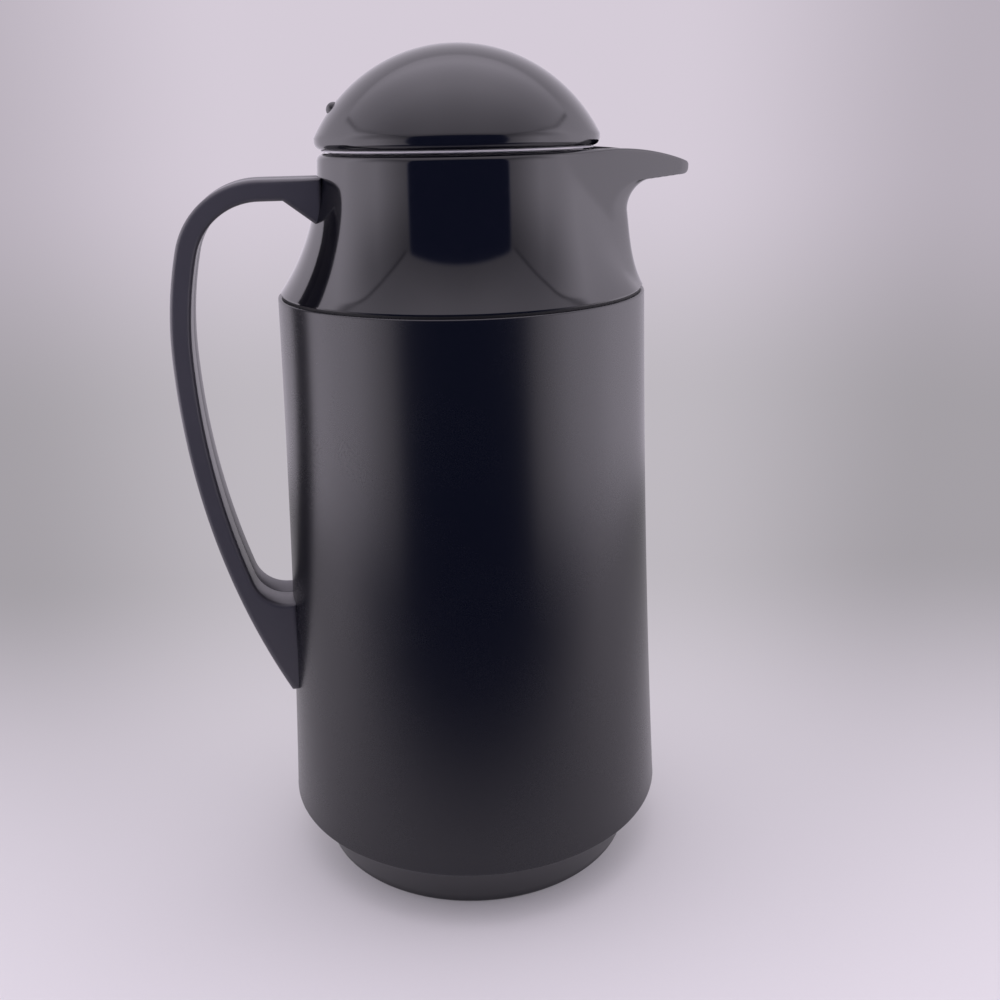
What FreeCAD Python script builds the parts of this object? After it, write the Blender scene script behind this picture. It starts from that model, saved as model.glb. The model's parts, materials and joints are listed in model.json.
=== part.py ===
import FreeCAD, Part
import math
import os

# Glass-lined thermal carafe with a screw-in domed stopper, in millimetres.
# +Z is up, the handle is towards -X and the spout towards +X.
# The origin is on the carafe's axis, on the surface that it stands on.

# Stack of heights
base_height = 20.4
shell_length = 190.6
joint_ring_thickness = 0.8
collar_height = 45.0
lid_gap = 1.0
dome_height = 32.2

# Shell
shell_top_radius = 62.9
shell_bottom_radius = 71.0
shell_waist = 0.9
shell_wall = 2.2
shell_edge_round = 0.6
shell_ledge_depth = 3.0
shell_ledge_thickness = 2.5

# Base cap
foot_radius = 59.4
base_shoulder_radius = 67.0
base_foot_round = 1.5
base_wall = 2.4
base_floor = 3.0
base_plug_height = 13.0
base_shoulder_gap = 0.5
base_recess_depth = 1.2
base_recess_inner = 18.0
base_recess_outer = 50.0

# Collar and its neck
neck_radius = 46.8
collar_foot_radius = 62.2
collar_wall = 2.2
rim_round = 2.5
mouth_radius = 42.5
mouth_depth = 4.8
funnel_depth = 7.0
bore_radius = 32.8
bore_depth = 15.0
neck_wall = 2.6
seat_thickness = 2.0
skirt_depth = 10.0
skirt_wall = 2.4

# Spout
prow_foot_reach = 59.6
prow_waist_reach = 56.4
prow_waist_height = 25.5
prow_front_radius = 60.0
prow_round = 4.6
throat_radius = 9.3
beak_slope = 3.5
beak_reach = 80.8
beak_tip_radius = 2.2
beak_nose_radius = 4.0
wedge_reach = 83.0
prow_blend = 6.0
channel_half_width = 24.0
channel_root_height = 32.5
channel_start = 28.0
channel_tip_depth = 1.4
brow_step = 0.05

# Handle
handle_width = 24.0
handle_thickness = 6.75
handle_drop = 7.2
handle_bend_start = 66.2
handle_bend_radius = 28.6
handle_bend_angle = 75.0
handle_grip_radius = 137.0
handle_foot_height = 68.0
handle_foot_lip = 1.2
handle_crook_height = 102.7
handle_crook_radius = 12.5
handle_web_start = 58.7
handle_web_slope = 37.5
handle_edge_round = 1.6
handle_seam = 0.1

# Glass liner
liner_radius = 50.0
glass = 1.4
vacuum_gap = 3.0
mouth_bore = 28.5
liner_bottom = 16.0
liner_bowl_radius = 75.0
liner_knuckle_radius = 22.0
liner_shoulder_radius = 24.0
liner_curl_radius = 10.0
liner_neck_length = 17.0
pad_radius = 5.0
pad_height = 62.0
pad_count = 3
tip_radius = 3.0
tip_end_radius = 1.2
tip_length = 6.0

# Gasket and cushion
gasket_thickness = 4.0
gasket_skirt = 8.0
gasket_wall = 2.3
cushion_inner = 14.0
cushion_outer = 33.0
cushion_height = 18.0

# Dome lid
dome_radius = 53.5
dome_rim_radius = 47.3
dome_rim_width = 2.9
dome_rim_round = 2.5
dome_wall = 2.4
pip_radius = 2.5
pip_reach = 40.2
pip_sink = 1.1
plate_recess = 1.0
plate_thickness = 2.2
boss_radius = 6.5
boss_height = 7.5
rim_seal_gap = 0.7
rim_seal_width = 3.8
rim_seal_height = 3.4
rim_seal_lip = 0.5
rim_seal_lip_radius = 45.2

# Stopper
stopper_radius = 30.0
stopper_wall = 3.0
stopper_top_wall = 3.0
nose_radius = 27.6
nose_length = 14.0
nose_wall = 2.2
spigot_length = 9.0
seal_thickness = 3.1

# Thread, cut alike on the collar and the stopper
thread_lead = 18.0
thread_starts = 3
thread_clearance = 0.4
thread_root = 2.6
thread_crest = 1.8
thread_play = 0.3
thread_bed = 0.6
thread_height = 5.4
thread_step = 10.0
collar_thread_angle = 150.0
stopper_thread_angle = 110.0

# Screws
handle_screw_radius = 1.5
handle_screw_head_radius = 2.8
handle_screw_head = 2.0
handle_screw_length = 11.0
handle_screw_spacing = 12.0
upper_screw_drop = 7.4
lower_screw_drop = 10.7
lid_screw_radius = 2.5
lid_screw_head_radius = 5.0
lid_screw_head = 3.0
lid_screw_length = 11.0
slot_width = 1.0
slot_depth = 1.0

# Clearances
fit = 0.15
touch = 0.05
seal_clearance = 0.3

# Heights and radii that follow from the sizes above
shell_top = base_height + shell_length
collar_bottom = shell_top + joint_ring_thickness
collar_top = collar_bottom + collar_height
funnel_top = collar_top - mouth_depth
funnel_bottom = funnel_top - funnel_depth
seat_top = funnel_bottom - bore_depth
seat_bottom = seat_top - seat_thickness
neck_outer = bore_radius + neck_wall
skirt_radius = shell_top_radius - shell_wall - fit
plug_top = base_height + base_plug_height
base_floor_top = base_recess_depth + base_floor
dome_bottom = collar_top + lid_gap
dome_top = dome_bottom + dome_height
dome_centre = dome_top - dome_radius
dome_rim_inner = dome_rim_radius - dome_rim_width
plate_bottom = dome_bottom + plate_recess
plate_top = plate_bottom + plate_thickness
handle_top = collar_top - handle_drop
upper_screw_height = handle_top - upper_screw_drop
lower_screw_height = handle_crook_height - lower_screw_drop
liner_top = seat_bottom - gasket_thickness
liner_neck = mouth_bore + 2 * glass + vacuum_gap
seal_bottom = seat_top + seal_clearance
seal_top = seal_bottom + seal_thickness
stopper_bottom = seal_top + touch
stopper_bore = stopper_radius - stopper_wall
nose_top = seal_bottom - touch
nose_bottom = nose_top - nose_length
spigot_radius = stopper_bore - touch
nose_bore = spigot_radius - nose_wall
stopper_ceiling = plate_bottom - stopper_top_wall

ORIGIN = FreeCAD.Vector(0, 0, 0)
UP = FreeCAD.Vector(0, 0, 1)
REACH_ALL = 400.0


# An outline starts at a point (x, z). Each step is its next point, or a point on the way and the end of an arc.
def side_point(point):
    return FreeCAD.Vector(point[0], 0, point[1])


def outline(start, *steps):
    edges = []
    here = start
    for step in steps + (start,):
        if isinstance(step[0], tuple):
            through, end = step
            edges.append(Part.Arc(side_point(here), side_point(through), side_point(end)).toShape())
        else:
            end = step
            edges.append(Part.LineSegment(side_point(here), side_point(end)).toShape())
        here = end
    return Part.Wire(edges)


def turned(start, *steps):
    return Part.Face(outline(start, *steps)).revolve(ORIGIN, UP, 360)


def ring(inner, outer, low, high):
    return turned((inner, low), (outer, low), (outer, high), (inner, high))


def disc(radius, low, high):
    return Part.makeCylinder(radius, high - low, FreeCAD.Vector(0, 0, low))


def plate(half_width, start, *steps):
    face = Part.Face(outline(start, *steps))
    face.translate(FreeCAD.Vector(0, -half_width, 0))
    return face.extrude(FreeCAD.Vector(0, 2 * half_width, 0))


def on_arc(centre, radius, degrees):
    angle = math.radians(degrees)
    return (centre[0] + radius * math.cos(angle), centre[1] + radius * math.sin(angle))


def arc_step(centre, radius, begin, end):
    return (on_arc(centre, radius, (begin + end) / 2), on_arc(centre, radius, end))


def arc_edge(centre, radius, begin, end):
    points = [side_point(on_arc(centre, radius, angle)) for angle in (begin, (begin + end) / 2, end)]
    return Part.Arc(*points).toShape()


def bearing(centre, point):
    return math.degrees(math.atan2(point[1] - centre[1], point[0] - centre[0])) % 360


def save(name, shape):
    shape.exportStep("parts/" + name + ".step")


# Shell: a tapered tube whose side is one shallow arc, drawn in a little at its middle.
def shell_side(inset):
    middle_radius = (shell_top_radius + shell_bottom_radius) / 2 - shell_waist
    bottom = (shell_bottom_radius - inset, base_height)
    waist = (middle_radius - inset, base_height + shell_length / 2)
    top = (shell_top_radius - inset, shell_top)
    return bottom, waist, top


def shell_radius(height):
    bottom, waist, top = shell_side(0)
    share = (height - waist[1]) / (shell_length / 2)
    tilt = (top[0] - bottom[0]) / 2
    bow = (top[0] + bottom[0]) / 2 - waist[0]
    return waist[0] + share * tilt + share * share * bow


def base_plug_radius():
    return shell_radius(plug_top) - shell_wall - fit


def shell_corner(height, into):
    edge_height = height + into * shell_edge_round
    return (shell_radius(edge_height) - shell_edge_round, edge_height)


def make_body_shell():
    waist = shell_side(0)[1]
    inner_bottom, inner_waist, inner_top = shell_side(shell_wall)
    lower = shell_corner(base_height, 1)
    upper = shell_corner(shell_top, -1)
    shell = turned(
        (lower[0], base_height),
        arc_step(lower, shell_edge_round, -90, 0),
        (waist, on_arc(upper, shell_edge_round, 0)),
        arc_step(upper, shell_edge_round, 0, 90),
        inner_top,
        (inner_waist, inner_bottom),
    )
    ledge = ring(
        base_plug_radius() - shell_ledge_depth,
        shell_radius(plug_top) - shell_wall / 2,
        plug_top,
        plug_top + shell_ledge_thickness,
    )
    return shell.fuse(ledge).cut(screw_shanks(lower_screw_height, lower_screw_wall(), touch))


# Base cap: a plinth with a plug that pushes up into the shell as far as its ledge.
def make_base_cap():
    shoulder = base_height - base_shoulder_gap
    plug = base_plug_radius()
    corner = (foot_radius - base_foot_round, base_foot_round)
    cap = turned(
        (0, 0),
        (corner[0], 0),
        arc_step(corner, base_foot_round, -90, 0),
        (base_shoulder_radius, shoulder),
        (plug, shoulder),
        (plug, plug_top),
        (plug - base_wall, plug_top),
        (base_shoulder_radius - base_wall, shoulder),
        (foot_radius - base_wall, base_floor_top),
        (0, base_floor_top),
    )
    return cap.cut(ring(base_recess_inner, base_recess_outer, 0, base_recess_depth))


# Collar: a flare that rises to an upright neck, with a prow and a beak drawn out of it towards +X.
def flare_sweep():
    spread = collar_foot_radius - neck_radius
    return (collar_height ** 2 + spread ** 2) / (2 * spread)


def flare_radius(height):
    sweep = flare_sweep()
    return neck_radius + sweep - math.sqrt(sweep ** 2 - (collar_top - height) ** 2)


# The spout seen from the side: a straight prow, a round throat, the beak's underside and its tip.
def beak_points():
    waist = (prow_waist_reach, collar_bottom + prow_waist_height)
    throat = (prow_waist_reach + throat_radius, waist[1])
    lip = on_arc(throat, throat_radius, 90 + beak_slope)
    slope = math.radians(beak_slope)
    tip_x = beak_reach - beak_tip_radius
    tip = (tip_x, lip[1] + (tip_x - lip[0]) * math.tan(slope) + beak_tip_radius / math.cos(slope))
    return waist, throat, lip, tip


def beak_edges():
    waist, throat, lip, tip = beak_points()
    foot = (prow_foot_reach, collar_bottom)
    underside_end = on_arc(tip, beak_tip_radius, beak_slope - 90)
    cheek = (beak_reach, collar_top - rim_round)
    return [
        Part.LineSegment(side_point(foot), side_point(waist)).toShape(),
        arc_edge(throat, throat_radius, 180, 90 + beak_slope),
        Part.LineSegment(side_point(lip), side_point(underside_end)).toShape(),
        arc_edge(tip, beak_tip_radius, beak_slope - 90, 0),
        Part.LineSegment(side_point((beak_reach, tip[1])), side_point(cheek)).toShape(),
    ]


def beak_stations(top):
    sections_per_edge = (6, 6, 4, 5, 3)
    rim_steps = 5
    stations = []
    for edge, count in zip(beak_edges(), sections_per_edge):
        stations += [(point.x, point.z) for point in edge.discretize(count)[:-1]]
    rim_low = collar_top - rim_round
    for step in range(rim_steps + 1):
        stations.append((beak_reach, rim_low + (top - rim_low) * math.sin(math.pi / 2 * step / rim_steps)))
    return stations


# All that lies above the beak's brow, an arc that falls from just below the rim to the tip.
def above_brow():
    tip = beak_points()[-1]
    brow_top = collar_top - brow_step
    run = tip[0] - neck_radius
    fall = brow_top - tip[1]
    brow_radius = (run ** 2 + fall ** 2 - beak_tip_radius ** 2) / (2 * (fall - beak_tip_radius))
    brow = (neck_radius, brow_top - brow_radius)
    brow_end = bearing(brow, tip)
    return plate(
        REACH_ALL,
        (neck_radius, brow_top),
        arc_step(brow, brow_radius, 90, brow_end),
        arc_step(tip, beak_tip_radius, brow_end, 0),
        (REACH_ALL, tip[1]),
        (REACH_ALL, dome_top),
        (neck_radius, dome_top),
    )


# The spout's plan outline: the neck's circle, a small nose and the two straight cheeks that touch both.
def wedge_radius(angle, inset):
    neck = neck_radius - inset
    nose = beak_nose_radius - inset
    nose_x = wedge_reach - beak_nose_radius
    side = math.acos((neck - nose) / nose_x)
    turn = math.atan2(nose * math.sin(side), nose_x + nose * math.cos(side))
    if angle < turn:
        return nose_x * math.cos(angle) + math.sqrt(nose ** 2 - (nose_x * math.sin(angle)) ** 2)
    if angle < side:
        return neck / math.cos(angle - side)
    return neck


# The side view cuts the wedge off in front with a slightly crowned face, whose edges are rounded.
def prow_radius(angle, reach, inset):
    wedge = wedge_radius(angle, inset)
    if math.cos(angle) <= 0:
        return wedge
    centre = reach - prow_front_radius
    crown = math.sqrt((prow_front_radius - inset) ** 2 - (centre * math.sin(angle)) ** 2)
    front = centre * math.cos(angle) + crown
    overlap = max(prow_round - abs(front - wedge), 0)
    return min(front, wedge) - overlap ** 2 / (4 * prow_round)


# The prow and the flare run into each other over a soft valley.
def collar_radius(angle, reach, height, inset):
    flare = flare_radius(height) - inset
    prow = prow_radius(abs(angle), reach, inset)
    blend = min(prow_blend, flare + inset - neck_radius)
    proud = prow - flare
    if abs(proud) < blend:
        return flare + (proud + blend) ** 2 / (4 * blend)
    return max(prow, flare)


def rim_setback(height, edge_round):
    into = max(height - (collar_top - edge_round), 0)
    return edge_round - math.sqrt(max(edge_round ** 2 - into ** 2, 0))


def collar_section(reach, height, inset, edge_round):
    half_count = 36
    tip_crowding = 0.8
    angles = []
    points = []
    for step in range(-half_count, half_count + 1):
        share = step / half_count
        angle = math.pi * share * (1 - tip_crowding + tip_crowding * share * share)
        radius = collar_radius(angle, reach, height, inset) - rim_setback(height, edge_round)
        angles.append(angle)
        points.append(FreeCAD.Vector(radius * math.cos(angle), radius * math.sin(angle), height))
    curve = Part.BSplineCurve()
    curve.interpolate(Points=points[:-1], PeriodicFlag=True, Parameters=angles)
    return Part.Wire(curve.toShape())


def collar_form(inset, edge_round, top):
    sections = [collar_section(reach, height, inset, edge_round) for reach, height in beak_stations(top)]
    return Part.makeLoft(sections, True, False)


# The pouring channel's floor climbs to the top of the beak's tip. The block is all the space above that floor.
def channel_block(half_width, drop):
    tip = beak_points()[-1]
    low = collar_bottom + channel_root_height - drop
    high = tip[1] + beak_tip_radius - channel_tip_depth - drop
    return plate(
        half_width, (channel_start, low), (beak_reach, high), (beak_reach, dome_top), (channel_start, dome_top))


def make_collar():
    inside = collar_form(collar_wall, 0, collar_top + rim_round)
    below_funnel = turned(
        (neck_outer, collar_bottom),
        (REACH_ALL, collar_bottom),
        (REACH_ALL, funnel_top - neck_wall),
        (mouth_radius + neck_wall, funnel_top - neck_wall),
        (neck_outer, funnel_bottom - neck_wall),
    )
    hollow = inside.common(below_funnel).cut(channel_block(channel_half_width + collar_wall, neck_wall))
    passage = turned(
        (0, collar_bottom),
        (neck_outer, collar_bottom),
        (neck_outer, seat_bottom),
        (mouth_bore, seat_bottom),
        (mouth_bore, seat_top),
        (bore_radius, seat_top),
        (bore_radius, funnel_bottom),
        (mouth_radius, funnel_top),
        (mouth_radius, dome_top),
        (0, dome_top),
    )
    channel = inside.common(channel_block(channel_half_width, 0))
    skirt = ring(skirt_radius - skirt_wall, skirt_radius, shell_top - skirt_depth, collar_bottom + skirt_wall)
    ridges = thread_ridges(
        bore_radius + thread_bed, stopper_radius + thread_clearance, 0, collar_thread_angle, 0)
    collar = collar_form(0, rim_round, collar_top).cut([hollow, passage, channel, above_brow()])
    collar = collar.fuse([skirt] + ridges)
    return collar.cut(screw_shanks(upper_screw_height, upper_screw_wall(), touch))


def make_collar_joint_ring():
    return ring(skirt_radius + touch, collar_foot_radius - shell_edge_round, shell_top, collar_bottom)


# Thread ridges: a wedge section carried along a steep helix that climbs anticlockwise.
def thread_ridges(root_radius, crest_radius, begin, sweep, drop):
    sections = []
    steps = int(sweep / thread_step)
    for step in range(steps + 1):
        degrees = begin + step * sweep / steps
        height = seat_top + thread_height - drop + thread_lead * degrees / 360
        corners = [
            (root_radius, height - thread_root / 2),
            (crest_radius, height - thread_crest / 2),
            (crest_radius, height + thread_crest / 2),
            (root_radius, height + thread_root / 2),
        ]
        section = outline(*corners)
        section.rotate(ORIGIN, UP, degrees)
        sections.append(section)
    ridges = []
    for start in range(thread_starts):
        ridge = Part.makeLoft(sections, True, True)
        ridge.rotate(ORIGIN, UP, start * 360 / thread_starts)
        ridges.append(ridge)
    return ridges


# Handle: one curved bar in two halves, with a web under its upper root and a long wedge for a foot.
# The bar is drawn into the carafe as far as the bore and the liner, and cut back to the collar and the shell.
def handle_bar():
    bend = (-handle_bend_start, handle_top - handle_bend_radius)
    bend_end = 90 + handle_bend_angle
    grip = on_arc(bend, handle_bend_radius - handle_grip_radius, bend_end)
    reach = handle_grip_radius - grip[0]
    foot_reach = shell_radius(handle_foot_height) + handle_foot_lip
    run = reach - foot_reach
    fall = grip[1] - handle_foot_height
    shank_radius = (fall ** 2 + run ** 2) / (2 * run)
    shank = (shank_radius - reach, grip[1])
    foot_end = bearing(shank, (-foot_reach, handle_foot_height))
    crook_height = handle_crook_height + handle_crook_radius
    inner_shank = shank_radius - handle_thickness
    crook_run = math.sqrt((inner_shank - handle_crook_radius) ** 2 - (shank[1] - crook_height) ** 2)
    crook = (shank[0] - crook_run, crook_height)
    crook_end = bearing(shank, crook)
    under_top = handle_top - handle_thickness
    web_drop = (handle_web_start - bore_radius) * math.tan(math.radians(handle_web_slope))
    return plate(
        handle_width / 2,
        (-bore_radius, handle_top),
        (-handle_bend_start, handle_top),
        arc_step(bend, handle_bend_radius, 90, bend_end),
        arc_step(grip, handle_grip_radius, bend_end, 180),
        arc_step(shank, shank_radius, 180, foot_end),
        (-liner_radius, handle_foot_height),
        (-liner_radius, handle_crook_height),
        (crook[0], handle_crook_height),
        arc_step(crook, handle_crook_radius, 270, crook_end),
        arc_step(shank, inner_shank, crook_end, 180),
        arc_step(grip, handle_grip_radius - handle_thickness, 180, bend_end),
        arc_step(bend, handle_bend_radius - handle_thickness, bend_end, 90),
        (-handle_web_start, under_top),
        (-bore_radius, under_top - web_drop),
    )


def make_handle_halves():
    bar = handle_bar()
    bar = bar.makeFillet(handle_edge_round, [edge for edge in bar.Edges if edge.BoundBox.YLength < touch])
    bottom, waist, top = shell_side(-touch)
    shell_core = turned((0, base_height), bottom, (waist, top), (0, shell_top))
    sweep = flare_sweep() - touch
    flare_centre = (neck_radius + flare_sweep(), collar_top)
    flare_foot = bearing(flare_centre, (collar_foot_radius, collar_bottom))
    collar_core = turned(
        (0, collar_bottom),
        on_arc(flare_centre, sweep, flare_foot),
        arc_step(flare_centre, sweep, flare_foot, 180),
        (0, collar_top),
    )
    holes = screw_shanks(upper_screw_height, upper_screw_wall(), touch)
    holes += screw_shanks(lower_screw_height, lower_screw_wall(), touch)
    bar = bar.cut([shell_core, collar_core] + holes)
    half_space = Part.makeBox(REACH_ALL, REACH_ALL, REACH_ALL)
    half_space.translate(FreeCAD.Vector(-REACH_ALL, handle_seam / 2, 0))
    rear = bar.common(half_space)
    half_space.translate(FreeCAD.Vector(0, -REACH_ALL - handle_seam, 0))
    front = bar.common(half_space)
    return front, rear


# Screws go outwards through the wall behind each end of the handle, one into each half.
def upper_screw_wall():
    return flare_radius(upper_screw_height + handle_screw_head_radius) - collar_wall


def lower_screw_wall():
    return shell_radius(lower_screw_height) - shell_wall


def screw_starts(height, wall_radius):
    far_edge = handle_screw_spacing / 2 + handle_screw_head_radius
    face = math.sqrt(wall_radius ** 2 - far_edge ** 2) - fit
    return [FreeCAD.Vector(-face, side * handle_screw_spacing / 2, height) for side in (-1, 1)]


def screw_shanks(height, wall_radius, clearance):
    outwards = FreeCAD.Vector(-1, 0, 0)
    radius = handle_screw_radius + clearance
    length = handle_screw_length + clearance
    return [Part.makeCylinder(radius, length, start, outwards) for start in screw_starts(height, wall_radius)]


def make_handle_screws(height, wall_radius):
    screws = []
    inwards = FreeCAD.Vector(1, 0, 0)
    for start, shank in zip(screw_starts(height, wall_radius), screw_shanks(height, wall_radius, 0)):
        head = Part.makeCylinder(handle_screw_head_radius, handle_screw_head, start, inwards)
        slot = Part.makeBox(slot_depth, 2 * handle_screw_head_radius, slot_width)
        slot_corner = FreeCAD.Vector(handle_screw_head - slot_depth, -handle_screw_head_radius, -slot_width / 2)
        slot.translate(start + slot_corner)
        screws.append(head.fuse(shank).cut(slot))
    return Part.makeCompound(screws)


# Liner: two glass walls on parallel outlines, joined at the lip, with the vacuum between them.
def liner_form(inset, top):
    knuckle_x = liner_radius - liner_knuckle_radius
    bowl = (0, liner_bottom + liner_bowl_radius)
    knuckle_drop = math.sqrt((liner_bowl_radius - liner_knuckle_radius) ** 2 - knuckle_x ** 2)
    knuckle = (knuckle_x, bowl[1] - knuckle_drop)
    bowl_end = bearing(bowl, knuckle)
    curves = liner_shoulder_radius + liner_curl_radius
    lean = math.degrees(math.acos(1 - (liner_radius - liner_neck) / curves))
    neck_base = liner_top - liner_neck_length
    shoulder = (liner_radius - liner_shoulder_radius, neck_base - curves * math.sin(math.radians(lean)))
    curl = (liner_neck + liner_curl_radius, neck_base)
    return turned(
        (0, liner_bottom + inset),
        arc_step(bowl, liner_bowl_radius - inset, 270, bowl_end),
        arc_step(knuckle, liner_knuckle_radius - inset, bowl_end, 360),
        (liner_radius - inset, shoulder[1]),
        arc_step(shoulder, liner_shoulder_radius - inset, 0, lean),
        arc_step(curl, liner_curl_radius + inset, 180 + lean, 180),
        (liner_neck - inset, top),
        (0, top),
    )


def make_liner_outer_wall():
    wall = liner_form(0, liner_top).cut(liner_form(glass, liner_top - glass))
    wall = wall.cut(disc(mouth_bore, liner_top - 2 * glass, liner_top))
    tip = Part.makeCone(
        tip_end_radius, tip_radius, tip_length, FreeCAD.Vector(0, 0, liner_bottom + glass / 2 - tip_length))
    return wall.fuse(tip.cut(liner_form(0, liner_top)))


def make_liner_inner_wall():
    lip = liner_top - glass
    return liner_form(glass + vacuum_gap, lip).cut(liner_form(2 * glass + vacuum_gap, lip))


def make_liner_spacer_pads():
    lip = liner_top - glass
    vacuum = liner_form(glass + touch, lip).cut(liner_form(glass + vacuum_gap - touch, lip))
    pads = []
    for index in range(pad_count):
        centre = FreeCAD.Vector(0, 0, pad_height)
        pad = Part.makeCylinder(pad_radius, liner_radius, centre, FreeCAD.Vector(1, 0, 0))
        pad.rotate(ORIGIN, UP, index * 360 / pad_count)
        pads.append(pad.common(vacuum))
    return Part.makeCompound(pads)


def make_neck_gasket():
    skirt_inner = liner_neck + touch
    skirt_outer = skirt_inner + gasket_wall
    washer = ring(mouth_bore, skirt_outer, liner_top, seat_bottom)
    return washer.fuse(ring(skirt_inner, skirt_outer, liner_top - gasket_skirt, liner_top)).removeSplitter()


def make_liner_cushion():
    pad = ring(cushion_inner, cushion_outer, base_floor_top, base_floor_top + cushion_height)
    return pad.cut(liner_form(-touch, liner_top))


# Dome lid: a spherical cap with a rounded rim and an index pip, closed from below by a plate.
def dome_cap(inset, low):
    radius = dome_radius - inset
    edge = math.sqrt(radius ** 2 - (low - dome_centre) ** 2)
    centre = (0, dome_centre)
    return turned((0, low), (edge, low), arc_step(centre, radius, bearing(centre, (edge, low)), 90))


def make_lid_dome():
    inner_radius = dome_radius - dome_wall
    centre = (0, dome_centre)
    outer_edge = (dome_rim_radius, dome_centre + math.sqrt(dome_radius ** 2 - dome_rim_radius ** 2))
    inner_edge = (dome_rim_inner, dome_centre + math.sqrt(inner_radius ** 2 - dome_rim_inner ** 2))
    corner = (dome_rim_radius - dome_rim_round, dome_bottom + dome_rim_round)
    dome = turned(
        (0, dome_top),
        arc_step(centre, dome_radius, 90, bearing(centre, outer_edge)),
        (dome_rim_radius, corner[1]),
        arc_step(corner, dome_rim_round, 0, -90),
        (dome_rim_inner, dome_bottom),
        inner_edge,
        arc_step(centre, inner_radius, bearing(centre, inner_edge), 90),
    )
    pip_height = dome_centre + math.sqrt((dome_radius - pip_sink) ** 2 - pip_reach ** 2)
    pip = Part.makeSphere(pip_radius, FreeCAD.Vector(-pip_reach, 0, pip_height))
    return dome.fuse(pip.cut(dome_cap(dome_wall / 2, dome_bottom)))


def make_lid_plate():
    hub = disc(boss_radius, plate_top, plate_top + boss_height)
    base = disc(dome_rim_inner - fit, plate_bottom, plate_top)
    hole = disc(lid_screw_radius + touch, plate_bottom, stopper_ceiling + lid_screw_length + touch)
    return base.fuse(hub).removeSplitter().cut(hole)


def make_lid_foam():
    low = plate_top + touch
    foam = dome_cap(dome_wall + touch, low).common(disc(dome_rim_inner - fit, low, dome_top))
    return foam.cut(disc(boss_radius + touch, plate_top, plate_top + boss_height + touch))


def make_lid_rim_seal():
    skirt_outer = mouth_radius - rim_seal_gap
    skirt_inner = skirt_outer - rim_seal_width
    skirt_bottom = plate_bottom - rim_seal_height
    recess = dome_rim_inner - fit
    lip_top = dome_bottom - touch
    return turned(
        (skirt_inner, skirt_bottom),
        (skirt_outer, skirt_bottom),
        (skirt_outer, lip_top - rim_seal_lip),
        (rim_seal_lip_radius, lip_top - rim_seal_lip),
        (rim_seal_lip_radius, lip_top),
        (recess, lip_top),
        (recess, plate_bottom),
        (skirt_inner, plate_bottom),
    )


# Stopper: a threaded barrel under the lid, filled with foam, with a nose that hangs in the liner's mouth.
def make_stopper_body():
    barrel = turned(
        (stopper_bore, stopper_bottom),
        (stopper_radius, stopper_bottom),
        (stopper_radius, plate_bottom),
        (lid_screw_radius + touch, plate_bottom),
        (lid_screw_radius + touch, stopper_ceiling),
        (stopper_bore, stopper_ceiling),
    )
    begin = collar_thread_angle - stopper_thread_angle
    drop = (thread_root + thread_crest) / 2 + thread_play
    crest = bore_radius - thread_clearance
    return barrel.fuse(thread_ridges(stopper_radius - thread_bed, crest, begin, stopper_thread_angle, drop))


def make_stopper_nose():
    return turned(
        (0, nose_bottom),
        (nose_radius, nose_bottom),
        (nose_radius, nose_top),
        (spigot_radius, nose_top),
        (spigot_radius, stopper_bottom + spigot_length),
        (nose_bore, stopper_bottom + spigot_length),
        (nose_bore, nose_bottom + nose_wall),
        (0, nose_bottom + nose_wall),
    )


def make_stopper_foam():
    return disc(nose_bore - touch, nose_bottom + nose_wall, stopper_ceiling - lid_screw_head - touch)


def make_stopper_seal():
    return ring(spigot_radius + touch, stopper_radius, seal_bottom, seal_top)


def make_lid_screw():
    head = disc(lid_screw_head_radius, stopper_ceiling - lid_screw_head, stopper_ceiling)
    shank = disc(lid_screw_radius, stopper_ceiling, stopper_ceiling + lid_screw_length)
    slot = Part.makeBox(2 * lid_screw_head_radius, slot_width, slot_depth)
    slot.translate(FreeCAD.Vector(-lid_screw_head_radius, -slot_width / 2, stopper_ceiling - lid_screw_head))
    return head.fuse(shank).cut(slot)


os.makedirs("parts", exist_ok=True)
handle_front, handle_rear = make_handle_halves()
pieces = {
    "body_shell": make_body_shell(),
    "base_cap": make_base_cap(),
    "collar": make_collar(),
    "collar_joint_ring": make_collar_joint_ring(),
    "handle_front_half": handle_front,
    "handle_rear_half": handle_rear,
    "handle_upper_screws": make_handle_screws(upper_screw_height, upper_screw_wall()),
    "handle_lower_screws": make_handle_screws(lower_screw_height, lower_screw_wall()),
    "liner_outer_wall": make_liner_outer_wall(),
    "liner_inner_wall": make_liner_inner_wall(),
    "liner_spacer_pads": make_liner_spacer_pads(),
    "neck_gasket": make_neck_gasket(),
    "liner_cushion": make_liner_cushion(),
    "lid_dome": make_lid_dome(),
    "lid_foam": make_lid_foam(),
    "lid_plate": make_lid_plate(),
    "lid_rim_seal": make_lid_rim_seal(),
    "stopper_body": make_stopper_body(),
    "stopper_foam": make_stopper_foam(),
    "stopper_nose": make_stopper_nose(),
    "stopper_seal": make_stopper_seal(),
    "lid_screw": make_lid_screw(),
}
for name, shape in pieces.items():
    save(name, shape)
    print(name, len(shape.Solids), shape.isValid(), round(shape.Volume))
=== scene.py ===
import json
import math

import bmesh
import bpy
from mathutils import Matrix, Vector

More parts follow.
